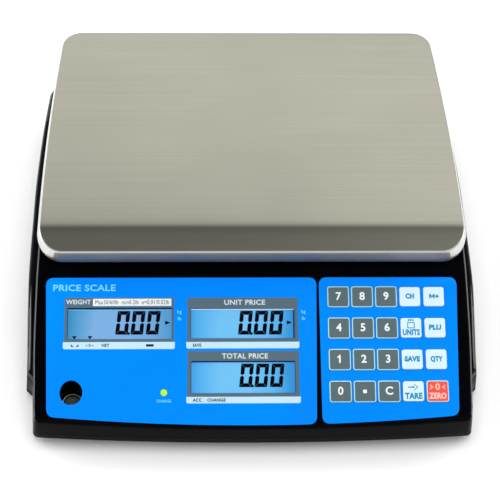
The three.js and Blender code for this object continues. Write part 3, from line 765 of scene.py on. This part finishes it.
def make_platter():
    rings = [[(x, y, PLATTER_Z - depth - fall(y)) for x, y in platter_outline(inset)]
             for inset, depth in reversed(RIM)]
    platter = half_loft("platter_pan", rings, "steel")
    platter.data.materials.append(M["rim"])
    platter.data.materials.append(M["shaded_front_flange"])
    # the flange under the bend is a lighter copy of the steel, a painted highlight; its nearly upright front
    # is a darker copy, painted shade
    for face in platter.data.polygons:
        steep, to_front = abs(face.normal.z) < 0.86, face.normal.y < -0.95
        if steep:
            face.material_index = 2 if to_front else 1
    finish_piece(platter, "platter", ["platter"], angle=60)


# ---- displays ----

FIGURE_SLANT = 0.105
FIGURE_SHARE = 0.86  # of the pitch from one figure to the next
RIGHT_ARROW = [(-1.9, -1.52), (1.9, 0), (-1.9, 1.52)]
DOWN_ARROW = [(0, -1.36), (1.7, 1.02), (-1.7, 1.02)]


def figure_zero(build, u, v, w, h, low):
    """One slanted figure 0, drawn as six bars with mitred ends, from its lower left corner."""
    t = h * 0.165
    g = t * 0.04
    mid = h / 2
    bars = [
        [(g, h), (w - g, h), (w - t - g * 0.4, h - t), (t + g * 0.4, h - t)],
        [(g, 0), (t + g * 0.4, t), (w - t - g * 0.4, t), (w - g, 0)],
    ]
    for x0, x1 in ((0, t), (w, w - t)):
        for up, end in ((-1, 0), (1, h)):
            y_mid = mid + up * g * 1.2
            bars.append([(x0, end - up * g), (x1, end - up * (t + g)), (x1, y_mid + up * t * 0.35),
                         ((x0 + x1) / 2, y_mid), (x0, y_mid + up * t * 0.35)])
    for bar in bars:
        build.mark([(u + a + FIGURE_SLANT * b, v + b) for a, b in bar], low, "segment")


def readout(build, u0, u1, v0, v1, low):
    """The figures 0.00 filling the given box."""
    height = v1 - v0
    pitch = (u1 - u0 - FIGURE_SLANT * height) / (2 + FIGURE_SHARE)
    for i in range(3):
        figure_zero(build, u0 + i * pitch, v0, pitch * FIGURE_SHARE - 0.4, height, low)
    dot = height * 0.1
    point = [(0, -0.1), (dot, -0.1), (dot * 1.1, dot), (dot * 0.1, dot)]
    build.mark(moved(point, u0 + pitch - dot * 1.35, v0), low, "segment")


def make_lcd(name, glass, figures, arrows, edges):
    build = Build(deck_point)
    wide, narrow = (rounded_at(WINDOWS[name], grow, 0.6, 3) for grow in (-0.3, -0.45))
    build.stack([(wide, -7.3), (wide, LCD_TOP - 0.15), (narrow, LCD_TOP)], glass)
    low = LCD_TOP + 0.01
    readout(build, *figures, low)
    for shape, u, v in arrows:
        build.mark(moved(shape, u, v), low, "segment")
    # edge lines drawn on the glass: the dark ones are painted shade from the recess walls, the pale ones are
    # lighter lines along its top edge
    for (u0, u1, v0, v1), look in edges:
        build.mark([(u0, v0), (u1, v0), (u1, v1), (u0, v1)], low, look)
    build.piece(name.replace("lcd", "display"), "housing", [name], "lcd_glass")


def make_lcds():
    # each display's last list holds its edge lines; the dark ones are painted shade from the recess walls
    make_lcd("lcd_weight", "lcd_pale", (-101.6, -67.4, 7.5, 25.3),
             [(RIGHT_ARROW, -62.7, 16.4), (DOWN_ARROW, -131.7, 5.4), (DOWN_ARROW, -120.2, 5.4)],
             [((-136.8, -59.6, 26.4, 27.3), "recess_shade"), ((-136.8, -59.6, 26.0, 26.4), "cyan")])
    make_lcd("lcd_unit_price", "lcd", (-10.5, 24.2, 7.3, 25.3), [(RIGHT_ARROW, 27.9, 16.4)],
             [((-45.2, 31.2, 26.2, 26.8), "label"), ((30.6, 31.4, 4.6, 25.8), "recess_shade")])
    make_lcd("lcd_total_price", "lcd", (-9.9, 24.2, -31.9, -14.5), [],
             [((-44.9, 31.3, -13.5, -12.8), "recess_shade")])


def make_rear_display():
    lens = Build(rear_point)
    wide, narrow = rear_outline("rear_lens", 0, 1.4, 5), rear_outline("rear_lens", -0.2, 1.2, 5)
    lens.stack([(wide, -1.4), (wide, -0.2), (narrow, 0)], "lens")
    lens.piece("customer_window", "housing", ["rear_lens"], "lens_clear", angle=50)

    lo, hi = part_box("rear_lcd")
    left, third, bottom, top = -hi.x / MM, (hi.x - lo.x) / MM / 3, lo.z / MM, hi.z / MM
    inside, outside = lo.y / MM - REAR_Y, hi.y / MM - REAR_Y
    glass = Build(rear_point)
    wide, narrow = rear_outline("rear_lcd", 0, 0.8, 3), rear_outline("rear_lcd", -0.2, 0.6, 3)
    glass.stack([(wide, inside), (wide, outside - 0.2), (narrow, outside - 0.05)], "lcd")
    ink = Build(rear_point)
    for k, words in enumerate(("WEIGHT", "UNIT PRICE", "TOTAL PRICE")):
        right = left + third * (k + 1) - 7
        readout(glass, right - 27, right, bottom + 3, top - 4, outside - 0.04)
        ink.text(words, 2.6, left + third * (k + 0.5), top + 3.6, 0.02, "label", bold=0.01)
    glass.piece("customer_display", "housing", ["rear_lcd"], "lcd_glass")
    ink.piece("customer_print", "housing")


# ---- printed panels ----


def make_panel(name, node, sides, tools):
    """Printed film with a small chamfer round its top, cut by the tools."""
    sheet = Build(deck_point)
    outline, inner = panel_outline(sides), panel_outline(sides, -0.2)
    sheet.stack([(outline, -0.5), (outline, OVERLAY_TOP - 0.15), (inner, OVERLAY_TOP)], "blue")
    panel = sheet.raw(name)
    boolean(panel, "DIFFERENCE", *tools)
    finish_piece(panel, "housing", [node], angle=30)


def make_panels():
    tools = [cutter(f"{name}_cut", rounded_at(place, 0, 0.8, 3), -3, 3) for name, place in WINDOWS.items()]
    tools += [cutter("well_cut", level_circle(LEVEL_R), 0, 90, upright_point),
              cutter("lamp_cut", circle(*LAMP_AT, LAMP_R), -3, 3)]
    make_panel("display_panel", "display_overlay", DISPLAY_PANEL, tools)
    tools = [cutter(f"{name}_cut", rounded_at(place, KEY_GAP, 2), -3, 3)
             for name, _, _, place in key_places()]
    make_panel("keypad_panel", "keypad_overlay", KEYPAD_PANEL, tools)


def print_frame(build, name, u0, u1, v0, v1, strip_v):
    """Grey surround of a display window and the pale strip under it."""
    outer = rounded(u0, u1, v0, v1, 1.0, 4, lower=0.1)
    build.mark(outer, OVERLAY_TOP, "frame", rounded_at(WINDOWS[name], 0, 0.4, 4))
    build.mark(rounded(u0 - 0.7, u1 + 0.7, strip_v, v0, 0.2, 4, lower=1.4), OVERLAY_TOP, "strip")


def make_print():
    ink = Build(deck_point)
    print_frame(ink, "lcd_weight", -139.3, -58.0, 1.8, 35.3, -3.5)
    print_frame(ink, "lcd_unit_price", -48.1, 34.3, 1.7, 35.2, -3.2)
    print_frame(ink, "lcd_total_price", -48.0, 34.6, -39.1, -5.1, -43.9)
    low, over = OVERLAY_TOP, OVERLAY_TOP + PRINT
    titles = (("WEIGHT", 3.5, -129.1, 31.9, 18.4), ("UNIT PRICE", 3.9, -5.4, 31.4, 30.5),
              ("TOTAL PRICE", 3.9, -5.4, -9.1, 34))
    for words, size, u, v, width in titles:
        ink.text(words, size, u, v, over, "pale", bold=0.03, width=width)
    ink.mark(rounded(-118.4, -60.0, 29.0, 34.5, 0.3, 3), over, "label")
    ink.text("Max30/60lb  min0.2lb  e=0.01/0.02lb", 3.4, -89.2, 31.7, over + PRINT, "ink", width=55)
    notes = (("NET", 2.3, -108.6, -0.8, 5.6), ("SAVE", 2.4, -40.9, -0.9, 6.2),
             ("ACC", 2.4, -40.6, -41.6, 6.6), ("CHANGE", 2.4, -26.6, -41.6, 13.4))
    for words, size, u, v, width in notes:
        ink.text(words, size, u, v, over, "ink", bold=0.04, width=width)
    ink.text("0", 2.3, -120.2, -0.8, over, "ink", bold=0.02)
    for side in (-1, 1):
        tick, wedge = [(-0.9, 0), (0.5, -0.6), (0.5, 0.6)], [(-1.1, 0), (0.9, 0), (0.9, 1.9)]
        ink.mark(moved(tick, -120.2 + side * 2.2, -0.8, side), over, "grey_ink")
        ink.mark(moved(wedge, -131.2 + side * 1.9, -1.7, side), over, "ink")
    ink.mark(rounded(-78.6, -73.0, -1.7, 0.1, 0.3, 3), over, "ink")
    for u in (-54.0, 38.4):
        ink.text("kg", 2.6, u, 24.5, low, "cyan", bold=0.015)
        ink.text("lb", 2.6, u, 19.2, low, "cyan", bold=0.015)
    ink.text("PRICE SCALE", 4.9, -148.6, 42.6, low, "cyan", align="LEFT", bold=0.03, width=46.5)
    ink.text("CHARGE", 2.2, -65.2, -42.2, low, "cyan", bold=0.018, width=10.8)
    ink.piece("panel_print", "housing")


def make_rib():
    """Rounded bead between the two panels, lower at both ends."""
    beads, n = [], 9
    for v in spread(RIB_FRONT, RIB_REAR, 24):
        u = RIB_U + RIB_LEAN * (0.5 - (v - RIB_FRONT) / (RIB_REAR - RIB_FRONT))
        height = 0.38 * min(1.0, (v - RIB_FRONT) / RIB_TAPER + 0.25, (RIB_REAR - v) / RIB_TAPER + 0.25)
        beads += [(u + 0.55 * cos(a), v, height * max(0.0, sin(a)) - 0.05)
                  for a in spread(0, pi, n)]
    last = len(beads) - n
    faces = [[r + k, r + (k + 1) % n, r + n + (k + 1) % n, r + n + k]
             for r in range(0, last, n) for k in range(n)]
    rib = Build(deck_point)
    rib.add(beads, [*faces, list(range(n)), list(range(last, last + n))[::-1]], "black")
    rib.piece("panel_rib", "housing", (), "housing_black")


# ---- keys ----


def key_places():
    """Name, legend, look and (u, v, width, height) of each key."""
    places = []
    for j, row in enumerate(KEYS):
        for i, legend in enumerate(row):
            name = f"key_{KEY_WORDS.get(legend, legend).lower()}"
            look = "key_red" if legend == "ZERO" else "key_white" if i > 2 else "key_grey"
            size = WHITE_KEY_SIZE if look == "key_white" else KEY_SIZE
            u, v = KEY_X + (i - 2) * KEY_PITCH_X, (1.5 - j) * KEY_PITCH_S
            places.append((name, legend, look, (u, v, *size)))
    return places


def print_digit(build, legend, u, v):
    if legend == ".":
        build.mark(rounded(u - 1.4, u + 1.4, v - 1.3, v + 1.3, 0.2, 3), KEY_TOP, "label")
    else:
        build.text(legend, 6.0, u, v + 0.2, KEY_TOP, "label", bold=0.035)
    if legend == "1":
        flag = [(-0.3, 3.2), (-1.9, 2.0), (-1.9, 0.9), (-0.3, 1.7)]
        build.mark(moved(flag, u, v), KEY_TOP, "label")


def print_memory_add(build, u, v):
    half = [(0.0, -1.4), (1.0, 0.0), (1.0, -1.7), (2.1, -1.7), (2.1, 1.7), (1.1, 1.7), (0.0, 0.15)]
    letter = half + [(-a, b) for a, b in half[-2:0:-1]]
    arm = [(-0.5, -1.3), (0.5, -1.3), (0.5, -0.5)]
    turns = ((1, 0), (0, 1), (-1, 0), (0, -1))
    cross = [(a * c - b * s, a * s + b * c) for c, s in turns for a, b in arm]
    build.mark(moved(letter, u - 1.3, v + 0.3), KEY_TOP, "legend")
    build.mark(moved(cross, u + 2.5, v + 0.3), KEY_TOP, "legend")


def print_units(build, u, v, ink):
    """Three small weights standing on a box."""
    build.mark(rounded(u - 2.76, u + 2.76, v - 0.4, v + 4.22, 0.3, 3), KEY_TOP, ink,
               rounded(u - 2.1, u + 2.1, v + 0.26, v + 3.56, 0.2, 3))
    weight = [(-0.6, -0.84), (0.6, -0.84), (0.36, 0.84), (-0.36, 0.84)]
    for k in (-1, 0, 1):
        build.mark(moved(weight, u + k * 1.62, v + 5.9), KEY_TOP, ink)


def print_tare(build, u, v, ink):
    """An arrow that points into an angle."""
    arrow = [(-4, -0.4), (-0.4, -0.4), (-0.4, -1.2), (1.0, 0), (-0.4, 1.2), (-0.4, 0.4), (-4, 0.4)]
    angle = [(3.4, 0), (0.9, -2.3), (0.2, -2.3), (2.6, 0), (0.2, 2.3), (0.9, 2.3)]
    for shape in (arrow, angle):
        build.mark(moved(shape, u, v + 3.1), KEY_TOP, ink)


def print_zero(build, u, v, ink):
    """A nought between two angles."""
    build.text("0", 5.0, u, v + 3.1, KEY_TOP, ink, bold=0.03)
    angle = [(-1.6, 0), (0.9, 1.8), (0.9, 0.8), (-0.2, 0), (0.9, -0.8), (0.9, -1.8)]
    for side in (-1, 1):
        build.mark(moved(angle, u + side * 4.6, v + 3.1, side), KEY_TOP, ink)


ICONS = {"UNITS": print_units, "TARE": print_tare, "ZERO": print_zero}
LEGEND_WIDTHS = {"CH": 6.4, "PLU": 9.2, "SAVE": 11.6, "QTY": 9.2}


def make_key(name, legend, look, place):
    """A key with a rounded edge, a pale border line round its face, and its legend."""
    build = Build(deck_point)
    edge = look if look == "key_white" else "border"
    bends = [(0, 1.8, -2.2), (0, 1.8, 0.5), (0.12, 1.7, 0.72), (0.35, 1.5, 0.84), (0.8, 1.2, 0.86),
             (0.85, 1.2, 0.85)]
    build.stack([(rounded_at(place, -inset, r, 6), lift) for inset, r, lift in bends], edge, look)
    bends = [(0.8, 1.2, 0.8), (0.8, 1.2, 0.86), (1.1, 1.1, KEY_TOP)]
    build.stack([(rounded_at(place, -inset, r, 6), lift) for inset, r, lift in bends], look)
    u, v = place[:2]
    if look == "key_grey":
        print_digit(build, legend, u, v)
    elif legend == "M+":
        print_memory_add(build, u, v)
    elif legend in ICONS:
        ink = "blush" if look == "key_red" else "legend"
        build.text(legend, 4.3, u, v - 3.6, KEY_TOP, ink, bold=0.068, width=12.8)
        ICONS[legend](build, u, v, ink)
    else:
        build.text(legend, 3.7, u, v + 0.2, KEY_TOP, "legend", bold=0.08, width=LEGEND_WIDTHS[legend])
    build.piece(name.replace("key", "keycap"), name, [name], look)


# ---- small parts ----


def make_level():
    x, y, _ = deck_point(*LEVEL_AT)
    cup = Build()
    lathe(cup, x, y, [(0, 10), (7.2, 10), (7.4, 10.4), (7.4, 21.6), (7.2, 22.1), (6.3, 22.1), (6.0, 21.6),
                      (6.0, 12.5), (0, 12.5)], "cup")
    cup.piece("level_cup", "housing", angle=40)
    # painted highlight: a thin diffuse white ring round the top of the cup stands in for the bright arc that
    # glints in the level's well
    ring = Build()
    ring.prism(circle(x, y, 7.1), 22.1, 22.35, "label", circle(x, y, 6.8))
    ring.piece("level_glint_ring", "housing", angle=40)
    vial = Build()
    dome = [(5.7 * sin(a), 21.4 + 1.5 * cos(a)) for a in map(radians, spread(84, 8, 10))]
    lathe(vial, x, y, [(0, 12.8), (5.7, 12.8), (5.75, 21.4), *dome, (0, 22.9)], "vial")
    vial.piece("level_glass", "housing", ["level_vial"], "vial_clear", angle=50)


def make_lamp():
    build = Build(deck_point)
    r = LAMP_R - 0.2
    rings = [(circle(*LAMP_AT, r), -6), (circle(*LAMP_AT, r), 0.2)]
    for a in map(radians, (25, 50, 70, 84)):
        rings.append((circle(*LAMP_AT, r * cos(a)), 0.2 + 0.9 * sin(a)))
    build.stack(rings, "lamp")
    build.piece("charge_light", "housing", ["charge_lamp"], "lamp_lens", angle=50)


def make_feet():
    foot = [(0, 0), (4, 0), (4.6, 0.5), (9, 0.5), (9.6, 0), (12, 0), (13.2, 0.7), (14, 2.2), (14, 5.4),
            (13.6, 5.9), (5.2, 6.3), (0, 6.3)]
    thread = [(r, z + turn * 1.25) for turn in range(12) for r, z in ((3.4, 6.4), (4.0, 7.0))]
    for corner in CORNERS:
        node = f"foot_{corner}"
        rubber, stem = Build(), Build()
        lathe(rubber, *box_centre(node), foot, "rubber", 64)
        rubber.piece(f"rubber_{corner}", node, [node], "foot_rubber", angle=50)
        lathe(stem, *box_centre(node), [(0, 6.2), *thread, (3.6, 21.8), (0, 22)], "zinc", 32)
        stem.piece(f"stem_{corner}", node, angle=30)


# CAD nodes that show as they are: look, bevel width, names
CAD_LOOKS = [
    ("tray", 0.4, ("base_tray", "battery_door")),
    ("cast", 0.8, ("platter_support",)),
    ("alloy", 0.5, ("support_spacer", "load_cell", "load_cell_base_spacer")),
    ("zinc", 0.3, ("support_screw_outer", "support_screw_inner", "base_screw_outer", "base_screw_inner")),
    ("board", 0.2, ("display_board", "keypad_board", "main_board")),
    ("battery", 0.5, ("battery",)),
    ("black", 0.4, ("power_switch",)),
    ("tray", 0.3, REAR_FITTINGS),
    ("rubber", 0.4, tuple(f"platter_pad_{corner}" for corner in CORNERS)),
]


def dress_cad_nodes():
    for look, width, names in CAD_LOOKS:
        for node in (NODES[name] for name in names):
            node.data.materials.clear()
            node.data.materials.append(M[look])
            add_bevel(node, width, 40)


# ---- studio ----

FLOOR_HALF, FLOOR_DEPTH = 6000, -2
# Brightness of the surroundings against height, 0 at the horizon and 1 overhead: greyish low down,
# so that steel stands out against the floor, brightest halfway up, dark overhead.
SKY = [(0.0, 0.66), (0.5, 0.56), (0.62, 1.0), (0.66, 1.0), (0.72, 0.93), (0.76, 0.82), (0.8, 0.55),
       (0.9, 0.25), (1.0, 0.14)]
SKY_TILT = -0.18  # part of the sideways direction that counts as height
LIGHT_TARGET = (0, 0, 0.05)


def make_floor():
    build = Build()
    square = [(-FLOOR_HALF, -FLOOR_HALF), (FLOOR_HALF, -FLOOR_HALF), (FLOOR_HALF, FLOOR_HALF),
              (-FLOOR_HALF, FLOOR_HALF)]
    build.prism(square, FLOOR_DEPTH, 0, "floor")
    build.raw("floor")


def area_light(name, place, size, power, reflected):
    """Soft light aimed at the scale; place and size are in metres."""
    light = bpy.data.lights.new(name, "AREA")
    light.shape = "RECTANGLE"
    light.size, light.size_y = size
    light.energy = power
    obj = new_object(name, light)
    obj.location = place
    obj.rotation_euler = (Vector(LIGHT_TARGET) - Vector(place)).to_track_quat("-Z", "Y").to_euler()
    obj.visible_glossy = reflected


def make_world():
    world = bpy.data.worlds.new("studio")
    world.use_nodes = True
    bpy.context.scene.world = world
    tree = world.node_tree
    where, split, tilt, ramp = (tree.nodes.new(f"ShaderNode{kind}")
                                for kind in ("TexCoord", "SeparateXYZ", "Math", "ValToRGB"))
    tilt.operation = "MULTIPLY_ADD"
    tilt.inputs[1].default_value = SKY_TILT
    fill_ramp(ramp, [(place, (value, value, value)) for place, value in SKY])
    for source, target in ((where.outputs["Generated"], split.inputs["Vector"]),
                           (split.outputs["X"], tilt.inputs[0]), (split.outputs["Z"], tilt.inputs[2]),
                           (tilt.outputs["Value"], ramp.inputs["Fac"]),
                           (ramp.outputs["Color"], tree.nodes["Background"].inputs["Color"])):
        tree.links.new(source, target)


def make_camera():
    """A long lens in front of the scale and above it, a little left of its middle."""
    elevation, yaw, roll = radians(51.38), radians(1.70), radians(-1.25)
    level = cos(elevation)
    ahead = Vector((sin(yaw) * level, cos(yaw) * level, -sin(elevation)))
    right = Vector((cos(yaw), -sin(yaw), 0))
    down = ahead.cross(right)
    rolled_right = cos(roll) * right + sin(roll) * down
    rolled_down = cos(roll) * down - sin(roll) * right
    data = bpy.data.cameras.new("camera")
    data.sensor_width = 36.0
    data.lens = 94.464
    data.shift_x, data.shift_y = 0.0388, -0.0008
    camera = new_object("camera", data)
    turn = Matrix((rolled_right, -rolled_down, -ahead)).transposed().to_4x4()
    camera.matrix_world = Matrix.Translation(Vector((-34.5, -668.1, 853.1)) * MM) @ turn
    bpy.context.scene.camera = camera


make_cover()
make_platter()
make_panels()
make_print()
make_rib()
make_lcds()
for key in key_places():
    make_key(*key)
make_level()
make_lamp()
make_feet()
make_rear_display()
dress_cad_nodes()

make_floor()
make_world()
area_light("left_softbox", (-2.5, 1.3, 1.3), (1.6, 1.0), 48, reflected=False)
area_light("right_softbox", (2.5, 1.3, 1.4), (1.6, 1.0), 46, reflected=False)
area_light("low_left_softbox", (-2.0, 0.0, 0.38), (1.3, 0.4), 11, reflected=True)
area_light("low_right_softbox", (2.0, 0.0, 0.38), (1.3, 0.4), 8, reflected=True)
area_light("top_softbox", (0, 0.3, 2.3), (1.4, 0.9), 31, reflected=False)
make_camera()
bpy.context.scene.view_settings.view_transform = "Standard"
